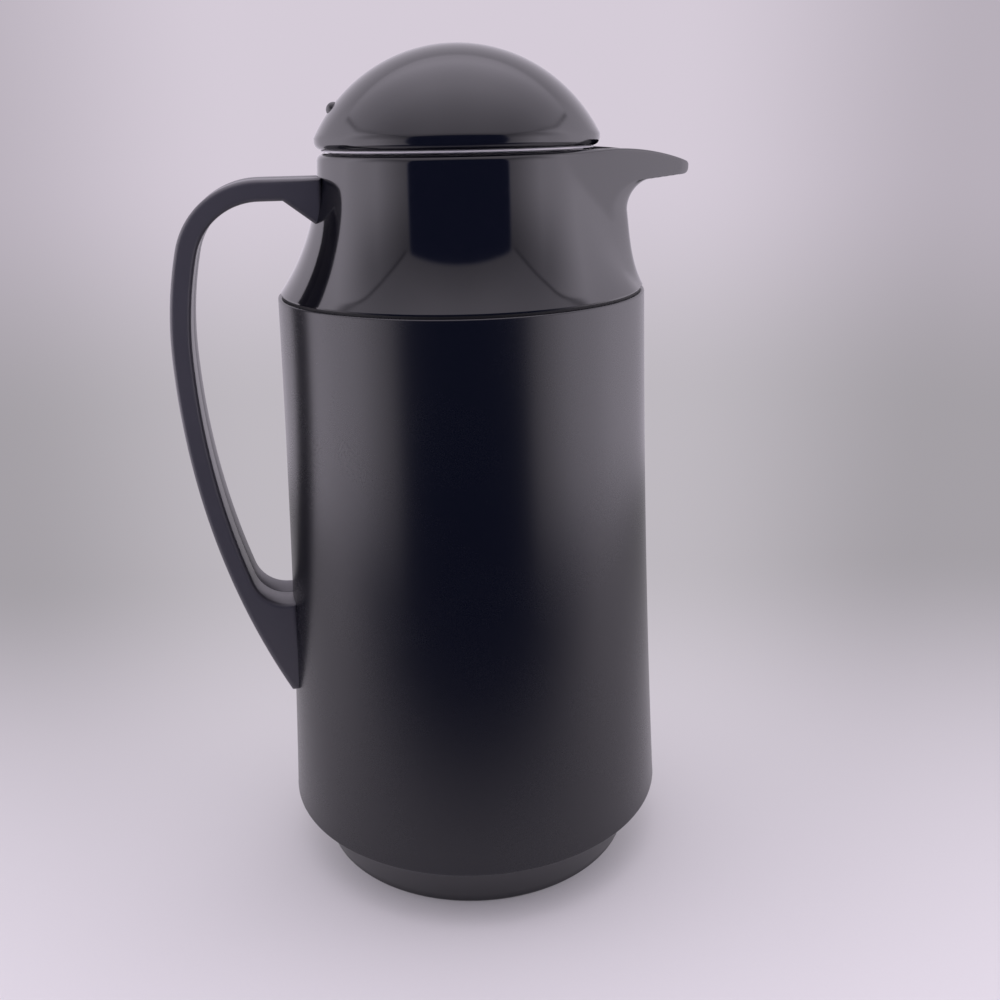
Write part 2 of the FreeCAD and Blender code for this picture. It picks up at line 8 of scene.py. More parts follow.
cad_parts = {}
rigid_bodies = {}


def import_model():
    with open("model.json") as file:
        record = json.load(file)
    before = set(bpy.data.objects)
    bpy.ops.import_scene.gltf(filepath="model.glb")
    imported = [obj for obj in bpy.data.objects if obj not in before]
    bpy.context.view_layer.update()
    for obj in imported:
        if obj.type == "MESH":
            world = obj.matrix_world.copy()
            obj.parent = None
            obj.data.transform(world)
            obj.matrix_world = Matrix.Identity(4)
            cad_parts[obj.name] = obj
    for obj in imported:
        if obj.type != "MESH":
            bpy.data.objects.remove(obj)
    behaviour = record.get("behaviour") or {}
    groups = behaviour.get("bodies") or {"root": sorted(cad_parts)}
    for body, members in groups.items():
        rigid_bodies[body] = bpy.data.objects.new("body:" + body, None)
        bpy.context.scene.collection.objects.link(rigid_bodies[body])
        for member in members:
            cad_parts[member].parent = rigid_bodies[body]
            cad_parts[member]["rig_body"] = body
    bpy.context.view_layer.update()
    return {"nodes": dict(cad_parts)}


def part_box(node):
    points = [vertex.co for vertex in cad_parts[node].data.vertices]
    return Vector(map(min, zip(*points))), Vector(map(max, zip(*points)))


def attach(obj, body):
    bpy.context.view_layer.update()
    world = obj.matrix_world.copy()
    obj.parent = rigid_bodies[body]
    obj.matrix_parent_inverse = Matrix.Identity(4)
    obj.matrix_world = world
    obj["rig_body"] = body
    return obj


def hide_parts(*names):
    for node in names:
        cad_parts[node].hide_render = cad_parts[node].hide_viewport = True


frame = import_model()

# Sizes of the carafe, in metres
shell_low, shell_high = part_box("body_shell")
dome_low, dome_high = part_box("lid_dome")
collar_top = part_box("collar")[1].z
weld = 1e-7

shell_bottom = shell_low.z
shell_top = shell_high.z
shell_top_radius = 0.0629
shell_bottom_radius = 0.0710
shell_waist = 0.0009
shell_wall = 0.0022
shell_edge_round = 0.0006
shell_edge_band = 0.0004

foot_radius = 0.0594
foot_round = 0.0015
base_shoulder_radius = 0.0670
base_shoulder_round = 0.0008
base_shoulder_height = 0.0199
base_plug_radius = 0.0642
base_plug_top = 0.0334
recess_inner = 0.018
recess_outer = 0.050
recess_depth = 0.0012

collar_bottom = 0.2118
collar_foot_radius = 0.0622
collar_foot_round = 0.0005
collar_wall = 0.0022
neck_radius = 0.0468
rim_round = 0.0025
lip_round = 0.0006
mouth_radius = 0.0425
mouth_depth = 0.0048
funnel_bottom = 0.2450
bore_radius = 0.0328
seat_top = 0.2300
seat_bottom = 0.2280
seat_radius = 0.0285
neck_outer_radius = 0.0354
skirt_radius = 0.06055
skirt_wall = 0.0024
skirt_bottom = 0.2010

prow_foot_reach = 0.0596
prow_waist_reach = 0.0564
prow_waist_height = 0.2373
prow_front_radius = 0.0600
prow_round = 0.0046
throat_radius = 0.0093
beak_slope = 3.5
beak_reach = 0.0808
beak_tip_radius = 0.0022
beak_nose_radius = 0.0040
wedge_reach = 0.0830
beak_edge_round = 0.0012
brow_tip_slip = 0.0004
brow_tip_least = 0.0003
prow_blend = 0.0060
channel_start = 0.0280
channel_root = 0.2443
channel_tip_depth = 0.0014
channel_begin_angle = math.radians(48)
channel_full_angle = math.radians(24)

handle_half_width = 0.0120
handle_thickness = 0.00675
handle_top = 0.2496
handle_bend = (-0.0662, 0.2210)
handle_bend_radius = 0.0286
handle_bend_end = 165.0
handle_grip_radius = 0.1370
handle_foot_height = 0.0680
handle_foot_reach = 0.0695
handle_crook_height = 0.1027
handle_crook_radius = 0.0125
handle_web_start = 0.0587
handle_web_slope = 37.5
handle_root_reach = 0.0462
handle_foot_root = 0.0652
handle_edge_round = 0.0016
handle_seam = 0.00005
handle_seam_round = 0.00025
handle_cheek_border = 0.0003

dome_bottom = dome_low.z
dome_top = dome_high.z
dome_radius = 0.0535
dome_rim_radius = 0.0473
dome_rim_inner = 0.0444
dome_rim_round = 0.0025
dome_wall = 0.0024
pip_radius = 0.0025
pip_reach = 0.0402
pip_sink = 0.0011

thread_lead = 0.018
thread_sweep = 150
thread_starts = 3
thread_root = 0.0026
thread_crest = 0.0018
thread_height = 0.0054
thread_bed = 0.0006
thread_crest_radius = 0.0304

# Steps round the turned pieces, and the angles above which an edge stays sharp
shell_steps = 224
base_steps = 192
collar_steps = 320
dome_steps = 224
thread_steps = 40
plain_crease = 40
dome_crease = 50
copy_crease = 30


# Shaders: arithmetic on a Shade adds Math nodes, and Tree.add makes any other node.
class Shade:
    def __init__(self, tree, socket):
        self.tree = tree
        self.socket = socket

    def math(self, operation, first, second=0.0):
        return self.tree.add("ShaderNodeMath", {"operation": operation}, {0: first, 1: second})

    def __add__(self, other):
        return self.math("ADD", self, other)

    def __radd__(self, other):
        return self.math("ADD", other, self)

    def __sub__(self, other):
        return self.math("SUBTRACT", self, other)

    def __rsub__(self, other):
        return self.math("SUBTRACT", other, self)

    def __mul__(self, other):
        return self.math("MULTIPLY", self, other)

    def __rmul__(self, other):
        return self.math("MULTIPLY", other, self)

    def __truediv__(self, other):
        return self.math("DIVIDE", self, other)

    def __rtruediv__(self, other):
        return self.math("DIVIDE", other, self)

    def __pow__(self, other):
        return self.math("POWER", self, other)

    def __abs__(self):
        return self.math("ABSOLUTE", self)


class Tree:
    def __init__(self, tree):
        self.tree = tree
        tree.nodes.clear()

    def add(self, kind, settings, inputs, output=0):
        node = self.tree.nodes.new(kind)
        for name, value in settings.items():
            if name == "stops":
                self.set_stops(node.color_ramp.elements, value)
            else:
                setattr(node, name, value)
        for name, value in inputs.items():
            if isinstance(value, Shade):
                self.tree.links.new(value.socket, node.inputs[name])
            else:
                node.inputs[name].default_value = value
        return Shade(self, node.outputs[output]) if len(node.outputs) else node

    def set_stops(self, elements, stops):
        while len(elements) < len(stops):
            elements.new(1.0)
        for element, (place, level) in zip(elements, stops):
            element.position = place
            element.color = (level, level, level, 1.0)

    def place(self):
        return self.add("ShaderNodeTexCoord", {}, {}, "Object")

    def noise(self, place, scale, detail):
        inputs = {"Vector": place, "Scale": scale, "Detail": detail}
        return self.add("ShaderNodeTexNoise", {}, inputs)

    def soft_step(self, value, begin, end):
        inputs = {"Value": value, "From Min": begin, "From Max": end}
        return self.add("ShaderNodeMapRange", {"interpolation_type": "SMOOTHSTEP"}, inputs)

    def ramp(self, value, *stops):
        return self.add("ShaderNodeValToRGB", {"stops": stops}, {"Fac": value})

    def mixed(self, share, first, second):
        second = second if isinstance(second, Shade) else (*second, 1.0)
        inputs = {0: share, 6: (*first, 1.0), 7: second}
        return self.add("ShaderNodeMix", {"data_type": "RGBA"}, inputs, 2)

    def vector_math(self, operation, first, second):
        inputs = {0: first, 1: second}
        return self.add("ShaderNodeVectorMath", {"operation": operation}, inputs, "Value")

    def dot(self, vector, axis):
        return self.vector_math("DOT_PRODUCT", vector, axis)

    def distance(self, first, second):
        return self.vector_math("DISTANCE", first, second)

    def bump(self, height, strength, distance):
        inputs = {"Height": height, "Strength": strength, "Distance": distance}
        return self.add("ShaderNodeBump", {}, inputs)


def new_finish(name):
    material = bpy.data.materials.new(name)
    material.use_nodes = True
    return material, Tree(material.node_tree)


def close_finish(tree, **sockets):
    inputs = {name.replace("_", " "): value for name, value in sockets.items()}
    surface = tree.add("ShaderNodeBsdfPrincipled", {}, inputs)
    tree.add("ShaderNodeOutputMaterial", {}, {"Surface": surface})


def satin_plastic(name, dark, light, roughness, grain_depth):
    material, tree = new_finish(name)
    place = tree.place()
    grain = tree.noise(place, scale=2600.0, detail=2.0)
    cloud = tree.noise(place, scale=34.0, detail=4.0)
    close_finish(
        tree,
        Base_Color=tree.mixed(cloud, dark, light),
        Roughness=roughness - 0.03 + 0.04 * cloud + 0.02 * grain,
        IOR=1.6,
        Normal=tree.bump(grain, strength=0.2, distance=grain_depth),
    )
    return material


def gloss_plastic(name, roughness):
    material, tree = new_finish(name)
    place = tree.place()
    sink = tree.noise(place, scale=45.0, detail=2.0)
    haze = tree.noise(place, scale=300.0, detail=4.0)
    close_finish(
        tree,
        Base_Color=tree.mixed(haze, (0.0030, 0.0032, 0.0056), (0.0048, 0.0048, 0.0080)),
        Roughness=roughness + 0.04 * haze,
        IOR=1.6,
        Normal=tree.bump(sink, strength=0.3, distance=0.00012),
    )
    return material


def rubber(name, dark, light, roughness):
    material, tree = new_finish(name)
    place = tree.place()
    speck = tree.noise(place, scale=1500.0, detail=3.0)
    bloom = tree.noise(place, scale=60.0, detail=4.0)
    close_finish(
        tree,
        Base_Color=tree.mixed(bloom, dark, light),
        Roughness=roughness + 0.14 * speck,
        IOR=1.45,
        Normal=tree.bump(speck, strength=0.3, distance=0.00006),
    )
    return material


def rigid_foam(name):
    material, tree = new_finish(name)
    place = tree.place()
    cells = tree.add("ShaderNodeTexVoronoi", {}, {"Vector": place, "Scale": 900.0}, "Distance")
    close_finish(
        tree,
        Base_Color=tree.mixed(cells, (0.84, 0.83, 0.80), (0.66, 0.64, 0.58)),
        Roughness=0.75 + 0.2 * cells,
        Normal=tree.bump(cells, strength=0.6, distance=0.0003),
    )
    return material


def silvered(name):
    material, tree = new_finish(name)
    place = tree.place()
    flow = tree.noise(place, scale=40.0, detail=3.0)
    close_finish(
        tree,
        Base_Color=tree.mixed(flow, (0.80, 0.80, 0.82), (0.90, 0.89, 0.90)),
        Metallic=1.0,
        Roughness=0.04 + 0.06 * flow,
        Normal=tree.bump(flow, strength=0.2, distance=0.0002),
    )
    return material


def pressed_fibre(name):
    material, tree = new_finish(name)
    place = tree.place()
    weave = {"Vector": place, "Scale": 260.0, "Distortion": 9.0, "Detail": 3.0}
    strands = tree.add("ShaderNodeTexWave", {}, weave, 1)
    close_finish(
        tree,
        Base_Color=tree.mixed(strands, (0.42, 0.40, 0.37), (0.62, 0.60, 0.56)),
        Roughness=0.8 + 0.15 * strands,
        Normal=tree.bump(strands, strength=0.6, distance=0.0003),
    )
    return material


def plated_steel(name):
    material, tree = new_finish(name)
    place = tree.place()
    streaks = tree.noise(place, scale=700.0, detail=3.0)
    close_finish(
        tree,
        Base_Color=tree.mixed(streaks, (0.48, 0.48, 0.49), (0.62, 0.61, 0.60)),
        Metallic=1.0,
        Roughness=0.22 + 0.2 * streaks,
        Normal=tree.bump(streaks, strength=0.2, distance=0.00004),
    )
    return material


shell_satin = satin_plastic(
    "shell_satin",
    dark=(0.0010, 0.0012, 0.0042),
    light=(0.0020, 0.0021, 0.0055),
    roughness=0.27,
    grain_depth=0.000008,
)
handle_satin = satin_plastic(
    "handle_satin",
    dark=(0.060, 0.058, 0.068),
    light=(0.073, 0.070, 0.083),
    roughness=0.36,
    grain_depth=0.00003,
)
base_satin = satin_plastic(
    "base_satin",
    dark=(0.012, 0.012, 0.015),
    light=(0.017, 0.016, 0.020),
    roughness=0.34,
    grain_depth=0.00001,
)
stopper_satin = satin_plastic(
    "stopper_satin",
    dark=(0.010, 0.010, 0.012),
    light=(0.014, 0.014, 0.017),
    roughness=0.42,
    grain_depth=0.00005,
)
collar_gloss = gloss_plastic("collar_gloss", roughness=0.06)
dome_gloss = gloss_plastic("dome_gloss", roughness=0.10)
seam_rubber = rubber("seam_rubber", (0.006, 0.006, 0.007), (0.012, 0.012, 0.013), roughness=0.62)
# A pale seal colour. On the lid's rim seal this pale tone is also painted highlight, standing in for
# the bright line of light in the gap under the dome.
pale_seal_and_painted_highlight = rubber("pale_seal_and_painted_highlight", (0.68, 0.67, 0.70), (0.76, 0.75, 0.77), roughness=0.30)
lid_foam_white = rigid_foam("lid_foam_white")
liner_silver = silvered("liner_silver")
pad_fibre = pressed_fibre("pad_fibre")
screw_zinc = plated_steel("screw_zinc")


# Outlines and pieces
def on_arc(centre, radius, degrees):
    angle = math.radians(degrees)
    return (centre[0] + radius * math.cos(angle), centre[1] + radius * math.sin(angle))


def arc(centre, radius, begin, end, steps):
    return [on_arc(centre, radius, begin + (end - begin) * step / steps) for step in range(steps + 1)]


def line(start, end, steps):
    return [tuple(Vector(start).lerp(Vector(end), step / steps)) for step in range(1, steps)]


def bearing(centre, point):
    return math.degrees(math.atan2(point[1] - centre[1], point[0] - centre[0])) % 360


def turned(outline, steps):
    mesh = bmesh.new()
    corners = [mesh.verts.new((reach, 0, height)) for reach, height in outline]
    ends = corners[:1] if outline[0][0] > 0 else []
    rows = [mesh.edges.new(pair) for pair in zip(corners, corners[1:] + ends)]
    bmesh.ops.spin(
        mesh,
        geom=corners + rows,
        cent=(0, 0, 0),
        axis=(0, 0, 1),
        angle=math.tau,
        steps=steps,
        use_merge=True,
    )
    return mesh


def settle(mesh):
    bmesh.ops.remove_doubles(mesh, verts=mesh.verts, dist=weld)
    bmesh.ops.recalc_face_normals(mesh, faces=mesh.faces)


def add_piece(name, mesh, body, finish, crease):
    mesh.normal_update()
    for face in mesh.faces:
        face.smooth = True
    for edge in mesh.edges:
        edge.smooth = edge.calc_face_angle(math.pi) < math.radians(crease)
    data = bpy.data.meshes.new(name)
    mesh.to_mesh(data)
    mesh.free()
    data.materials.clear()
    data.materials.append(finish)
    piece = bpy.data.objects.new(name, data)
    bpy.context.scene.collection.objects.link(piece)
    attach(piece, body)
    return piece


# Shell: the drawn-in tube with fine rounded edges
def shell_radius(height):
    middle = (shell_bottom + shell_top) / 2
    share = (height - middle) / (shell_top - middle)
    mean = (shell_top_radius + shell_bottom_radius) / 2
    tilt = (shell_top_radius - shell_bottom_radius) / 2
    return mean - shell_waist + share * tilt + share * share * shell_waist


def make_shell():
    low = shell_bottom + shell_edge_round
    high = shell_top - shell_edge_round
    bands = 28
    heights = [low + shell_edge_band]
    heights += [low + (high - low) * band / bands for band in range(1, bands)]
    heights += [high - shell_edge_band]
    side = [(shell_radius(height), height) for height in heights]
    lower = arc((shell_bottom_radius - shell_edge_round, low), shell_edge_round, -90, 0, 6)
    upper = arc((shell_top_radius - shell_edge_round, high), shell_edge_round, 0, 90, 6)
    inner = [(reach - shell_wall, height) for reach, height in side[::-4]]
    bottom_edge = (shell_bottom_radius - shell_wall, shell_bottom)
    top_edge = (shell_top_radius - shell_wall, shell_top)
    mesh = turned([bottom_edge] + lower + side + upper + [top_edge] + inner, shell_steps)
    settle(mesh)
    piece = add_piece("carafe_shell", mesh, "carafe_body", shell_satin, plain_crease)
    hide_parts("body_shell")


# Base: the plinth under the shell, with its foot ring and recess
def make_base():
    foot = arc((foot_radius - foot_round, foot_round), foot_round, -90, 0, 6)
    shoulder_x = base_shoulder_radius - base_shoulder_round
    shoulder_z = base_shoulder_height - base_shoulder_round
    shoulder = arc((shoulder_x, shoulder_z), base_shoulder_round, -15, 90, 6)
    outline = [
        (0, 0),
        (recess_inner, 0),
        (recess_inner + recess_depth / 2, recess_depth),
        (recess_outer - recess_depth / 2, recess_depth),
        (recess_outer, 0),
    ]
    outline += foot + line(foot[-1], shoulder[0], 6) + shoulder
    outline += [(base_plug_radius, base_shoulder_height), (base_plug_radius, base_plug_top)]
    outline += [(0, base_plug_top)]
    mesh = turned(outline, base_steps)
    settle(mesh)
    piece = add_piece("carafe_base", mesh, "carafe_body", base_satin, plain_crease)
    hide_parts("base_cap")


# Collar: the flare, the neck, the prow and the beak with its pouring channel
def flare_radius(height):
    spread = collar_foot_radius - neck_radius
    sweep = ((collar_top - collar_bottom) ** 2 + spread ** 2) / (2 * spread)
    return neck_radius + sweep - math.sqrt(sweep ** 2 - (collar_top - height) ** 2)


prow_waist = (prow_waist_reach, prow_waist_height)
throat_centre = (prow_waist_reach + throat_radius, prow_waist_height)
beak_lip = on_arc(throat_centre, throat_radius, 90 + beak_slope)
beak_rise = math.tan(math.radians(beak_slope))
beak_tip_x = beak_reach - beak_tip_radius
beak_tip_drop = beak_tip_radius / math.cos(math.radians(beak_slope))
beak_tip = (beak_tip_x, beak_lip[1] + (beak_tip_x - beak_lip[0]) * beak_rise + beak_tip_drop)
brow_run = beak_tip_x - neck_radius
brow_fall = collar_top - beak_tip[1]
brow_sag = brow_run ** 2 + brow_fall ** 2 - beak_tip_radius ** 2
brow_radius = brow_sag / (2 * (brow_fall - beak_tip_radius))
brow_centre = (neck_radius, collar_top - brow_radius)
brow_end = on_arc(brow_centre, brow_radius, bearing(brow_centre, beak_tip))[0]
channel_tip = beak_tip[1] + beak_tip_radius - channel_tip_depth
channel_slope = (channel_tip - channel_root) / (beak_reach - channel_start)


def brow_height(x):
    if x < neck_radius:
        return collar_top
    if x < brow_end:
        return brow_centre[1] + math.sqrt(brow_radius ** 2 - (x - neck_radius) ** 2)
    fall = beak_tip_radius ** 2 - (x + brow_tip_slip - beak_tip_x) ** 2
    return beak_tip[1] + math.sqrt(max(fall, brow_tip_least ** 2))


def under_brow(x, height):
    if height < beak_tip[1]:
        return height
    squeeze = (brow_height(x) - beak_tip[1]) / (collar_top - beak_tip[1])
    return beak_tip[1] + (height - beak_tip[1]) * squeeze


def wedge_radius(angle, inset):
    neck = neck_radius - inset
    nose = beak_nose_radius - inset
    nose_x = wedge_reach - beak_nose_radius
    side = math.acos((neck - nose) / nose_x)
    turn = math.atan2(nose * math.sin(side), nose_x + nose * math.cos(side))
    if angle < turn:
        return nose_x * math.cos(angle) + math.sqrt(nose ** 2 - (nose_x * math.sin(angle)) ** 2)
    if angle < side:
        return neck / math.cos(angle - side)
    return neck


def prow_radius(angle, reach, inset):
    wedge = wedge_radius(angle, inset)
    if math.cos(angle) <= 0:
        return wedge
    centre = reach - prow_front_radius
    crown = math.sqrt((prow_front_radius - inset) ** 2 - (centre * math.sin(angle)) ** 2)
    front = centre * math.cos(angle) + crown
    overlap = max(prow_round - abs(front - wedge), 0)
    return min(front, wedge) - overlap ** 2 / (4 * prow_round)


def collar_radius(angle, reach, height):
    flare = flare_radius(height)
    prow = prow_radius(angle, reach, 0)
    blend = min(prow_blend, flare - neck_radius)
    proud = prow - flare
    if abs(proud) < blend:
        return flare + (proud + blend) ** 2 / (4 * blend)
    return max(prow, flare)


def channel_share(angle):
    share = (channel_begin_angle - angle) / (channel_begin_angle - channel_full_angle)
    share = min(max(share, 0), 1)
    return share * share * (3 - 2 * share)


def mix(first, second, share):
    return first + (second - first) * share


def mouth_reach(angle):
    wall = prow_radius(angle, beak_reach, collar_wall)
    return mix(mouth_radius, wall, channel_share(angle))


def funnel_height(angle, radius):
    cone_share = (radius - bore_radius) / (mouth_radius - bore_radius)
    cone = mix(funnel_bottom, collar_top - mouth_depth, cone_share)
    channel = channel_root + channel_slope * (radius * math.cos(angle) - channel_start)
    return mix(cone, min(cone, channel), channel_share(angle))


# The rows of the collar's skin, from its foot up over the rim and down into the bore.
def collar_rows():
    wall = [(prow_foot_reach, collar_bottom + collar_foot_round)]
    wall += line(wall[0], prow_waist, 14)
    wall += arc(throat_centre, throat_radius, 180, 90 + beak_slope, 14)
    underside_end = on_arc(beak_tip, beak_tip_radius, beak_slope - 90)
    wall += line(beak_lip, underside_end, 5)
    wall += arc(beak_tip, beak_tip_radius, beak_slope - 90, 0, 6)
    wall += line((beak_reach, beak_tip[1]), (beak_reach, collar_top - rim_round), 4)
    rows = [("wall", reach, height) for reach, height in wall]
    rows += [("rim", 1 - x, 1 - z) for x, z in arc((0, 0), 1, 0, 90, 7)]
    rows += [("lip", 1 - x, 1 - z) for x, z in arc((0, 0), 1, 90, 0, 4)]
    rows += [("mouth", 0, step / 4) for step in range(1, 4)]
    rows += [("funnel", 0, step / 12) for step in range(13)]
    rows += [
        ("fixed", bore_radius, seat_top),
        ("fixed", seat_radius, seat_top),
        ("fixed", seat_radius, seat_bottom),
        ("fixed", neck_outer_radius, seat_bottom),
        ("fixed", skirt_radius - skirt_wall, collar_bottom + skirt_wall),
        ("fixed", skirt_radius - skirt_wall, skirt_bottom),
        ("fixed", skirt_radius, skirt_bottom),
        ("fixed", skirt_radius, collar_bottom),
        ("fixed", collar_foot_radius - collar_foot_round, collar_bottom),
    ]
    return rows


def collar_point(row, angle):
    kind, across, along = row
    side = abs(angle)
    if kind == "fixed":
        return across, along
    if kind == "wall":
        radius = collar_radius(side, across, along)
        return radius, under_brow(radius * math.cos(angle), along)
    if kind == "rim":
        edge_round = mix(rim_round, beak_edge_round, channel_share(side))
        radius = collar_radius(side, beak_reach, collar_top) - across * edge_round
        return radius, under_brow(radius * math.cos(angle), collar_top - along * edge_round)
    inner = mouth_reach(side)
    lip_height = under_brow(inner * math.cos(angle), collar_top - lip_round)
    floor = funnel_height(side, inner)
    if kind == "lip":
        radius = inner + across * lip_round
        return radius, under_brow(radius * math.cos(angle), collar_top - along * lip_round)
    if kind == "mouth":
        return inner, mix(lip_height, floor, along)
    radius = mix(inner, bore_radius, along)
    return radius, funnel_height(side, radius)


# A flat disc has one ring of points for each row, and each point then moves to its place on the skin.
def make_collar():
    rows = collar_rows()
    first_ring = 0.03
    ring_gap = first_ring / len(rows)
    rings = [(first_ring + ring_gap * index, collar_bottom) for index in range(len(rows))]
    mesh = turned(rings, collar_steps)
    bmesh.ops.remove_doubles(mesh, verts=mesh.verts, dist=weld)
    tip_crowding = 0.8
    for vert in mesh.verts:
        index = round((math.hypot(vert.co.x, vert.co.y) - first_ring) / ring_gap)
        share = math.atan2(vert.co.y, vert.co.x) / math.pi
        angle = math.pi * share * (1 - tip_crowding + tip_crowding * share * share)
        radius, height = collar_point(rows[index], angle)
        vert.co = (radius * math.cos(angle), radius * math.sin(angle), height)
    add_thread(mesh)
    settle(mesh)
    piece = add_piece("spout_collar", mesh, "carafe_body", collar_gloss, plain_crease)
    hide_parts("collar")


def add_thread(mesh):
    root_radius = bore_radius + thread_bed
    middle = seat_top + thread_height
    section = [
        (root_radius, middle - thread_root / 2),
        (thread_crest_radius, middle - thread_crest / 2),
        (thread_crest_radius, middle + thread_crest / 2),
        (root_radius, middle + thread_root / 2),
    ]
    for start in range(thread_starts):
        turn = Matrix.Rotation(math.tau * start / thread_starts, 3, "Z")
        corners = [mesh.verts.new(turn @ Vector((reach, 0, height))) for reach, height in section]
        face = mesh.faces.new(corners)
        bmesh.ops.spin(
            mesh,
            geom=[face],
            cent=(0, 0, 0),
            axis=(0, 0, 1),
            dvec=(0, 0, thread_lead * thread_sweep / 360 / thread_steps),
            angle=math.radians(thread_sweep),
            steps=thread_steps,
        )


# Handle: two mouldings that meet in a fine groove along the middle
def handle_outline():
    grip = on_arc(handle_bend, handle_bend_radius - handle_grip_radius, handle_bend_end)
    reach = handle_grip_radius - grip[0]
    run = reach - handle_foot_reach
    fall = grip[1] - handle_foot_height
    shank_radius = (fall ** 2 + run ** 2) / (2 * run)
    shank = (shank_radius - reach, grip[1])
    foot_end = bearing(shank, (-handle_foot_reach, handle_foot_height))
    crook_z = handle_crook_height + handle_crook_radius
    inner_shank = shank_radius - handle_thickness
    crook_run = math.sqrt((inner_shank - handle_crook_radius) ** 2 - (shank[1] - crook_z) ** 2)
    crook = (shank[0] - crook_run, crook_z)
    crook_end = bearing(shank, crook)
    inner_bend = handle_bend_radius - handle_thickness
    inner_grip = handle_grip_radius - handle_thickness
    under_top = handle_top - handle_thickness
    web_drop = (handle_web_start - handle_root_reach) * math.tan(math.radians(handle_web_slope))
    points = [(-handle_root_reach, handle_top)]
    points += arc(handle_bend, handle_bend_radius, 90, handle_bend_end, 24)
    points += arc(grip, handle_grip_radius, handle_bend_end, 180, 10)[1:]
    points += arc(shank, shank_radius, 180, foot_end, 30)[1:]
    points += [(-handle_foot_root, handle_foot_height), (-handle_foot_root, handle_crook_height)]
    points += arc(crook, handle_crook_radius, 270, crook_end, 12)
    points += arc(shank, inner_shank, crook_end, 180, 20)[1:]
    points += arc(grip, inner_grip, 180, handle_bend_end, 10)[1:]
    points += arc(handle_bend, inner_bend, handle_bend_end, 90, 20)[1:]
    points += [(-handle_web_start, under_top), (-handle_root_reach, under_top - web_drop)]
    return points


def rounded(mesh, edges, size, segments):
    bmesh.ops.bevel(
        mesh,
        geom=edges,
        offset=size,
        offset_type="OFFSET",
        segments=segments,
        profile=0.5,
        affect="EDGES",
        clamp_overlap=True,
        material=-1,
    )


def make_handle_half(name, side, node):
    mesh = bmesh.new()
    inside = side * handle_seam
    corners = [mesh.verts.new((x, inside, z)) for x, z in handle_outline()]
    moulding = mesh.faces.new(corners)
    made = bmesh.ops.extrude_face_region(mesh, geom=[moulding])["geom"]
    outside = [item for item in made if isinstance(item, bmesh.types.BMVert)]
    bmesh.ops.translate(mesh, verts=outside, vec=(0, side * handle_half_width - inside, 0))
    bmesh.ops.recalc_face_normals(mesh, faces=mesh.faces)
    outer_edges = [edge for edge in mesh.edges if all(vert in outside for vert in edge.verts)]
    seam_edges = [edge for edge in mesh.edges if all(vert in corners for vert in edge.verts)]
    rounded(mesh, seam_edges, handle_seam_round, 2)
    outer_edges = [edge for edge in outer_edges if edge.is_valid]
    rounded(mesh, outer_edges, handle_edge_round, 6)
    cheeks = [face for face in mesh.faces if len(face.verts) >= len(corners) // 2]
    bmesh.ops.inset_region(mesh, faces=cheeks, thickness=handle_cheek_border, use_even_offset=True)
    settle(mesh)
    piece = add_piece(name, mesh, "carafe_body", handle_satin, plain_crease)
    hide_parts(node)


# Lid: the dome, and the pip that marks where the spout is shut
def make_dome():
    centre = (0, dome_top - dome_radius)
    inner_radius = dome_radius - dome_wall
    outer_edge = (dome_rim_radius, centre[1] + math.sqrt(dome_radius ** 2 - dome_rim_radius ** 2))
    inner_edge = (dome_rim_inner, centre[1] + math.sqrt(inner_radius ** 2 - dome_rim_inner ** 2))
    corner = (dome_rim_radius - dome_rim_round, dome_bottom + dome_rim_round)
    outline = [(0, dome_top)]
    outline += arc(centre, dome_radius, 90, bearing(centre, outer_edge), 40)[1:]
    outline += arc(corner, dome_rim_round, 0, -90, 8)
    outline += [(dome_rim_inner, dome_bottom)]
    outline += arc(centre, inner_radius, bearing(centre, inner_edge), 90, 12)[:-1]
    outline += [(0, dome_top - dome_wall)]
    mesh = turned(outline, dome_steps)
    settle(mesh)
    piece = add_piece("lid_cap", mesh, "lid", dome_gloss, dome_crease)
    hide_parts("lid_dome")


def make_pip():
    height = dome_top - dome_radius + math.sqrt((dome_radius - pip_sink) ** 2 - pip_reach ** 2)
    mesh = bmesh.new()
    place = Matrix.Translation((-pip_reach, 0, height))
    bmesh.ops.create_uvsphere(mesh, u_segments=32, v_segments=20, radius=pip_radius, matrix=place)
    settle(mesh)
    add_piece("lid_pip", mesh, "lid", dome_gloss, dome_crease)


# Solids whose shape is right already: a merged copy gets new normals and a finish.
def smooth_copy(node, name, finish):
    mesh = bmesh.new()
    mesh.from_mesh(frame["nodes"][node].data)
    settle(mesh)
    piece = add_piece(name, mesh, frame["nodes"][node]["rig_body"], finish, copy_crease)
    imported_normals = piece.data.attributes.get("custom_normal")
    if imported_normals:
        piece.data.attributes.remove(imported_normals)
    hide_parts(node)


def finish_solid(node, finish):
    data = frame["nodes"][node].data
    data.materials.clear()
    data.materials.append(finish)


make_shell()
make_base()
make_collar()
make_handle_half("handle_front", -1, "handle_front_half")
make_handle_half("handle_rear", 1, "handle_rear_half")
make_dome()
make_pip()
smooth_copy("collar_joint_ring", "seam_ring", seam_rubber)
# The rim seal is a real part, but its pale colour is painted highlight: it stands in for the bright
# line of light in the gap under the dome.
smooth_copy("lid_rim_seal", "rim_seal", pale_seal_and_painted_highlight)
smooth_copy("lid_plate", "lid_underplate", stopper_satin)
smooth_copy("stopper_body", "stopper_barrel", stopper_satin)
smooth_copy("stopper_nose", "stopper_tip", stopper_satin)
smooth_copy("stopper_seal", "stopper_ring", pale_seal_and_painted_highlight)
smooth_copy("neck_gasket", "liner_gasket", seam_rubber)
smooth_copy("liner_inner_wall", "liner_inside", liner_silver)
finish_solid("liner_outer_wall", liner_silver)
finish_solid("liner_spacer_pads", pad_fibre)
finish_solid("liner_cushion", seam_rubber)
finish_solid("lid_foam", lid_foam_white)
finish_solid("stopper_foam", lid_foam_white)
finish_solid("lid_screw", screw_zinc)
finish_solid("handle_upper_screws", screw_zinc)
finish_solid("handle_lower_screws", screw_zinc)

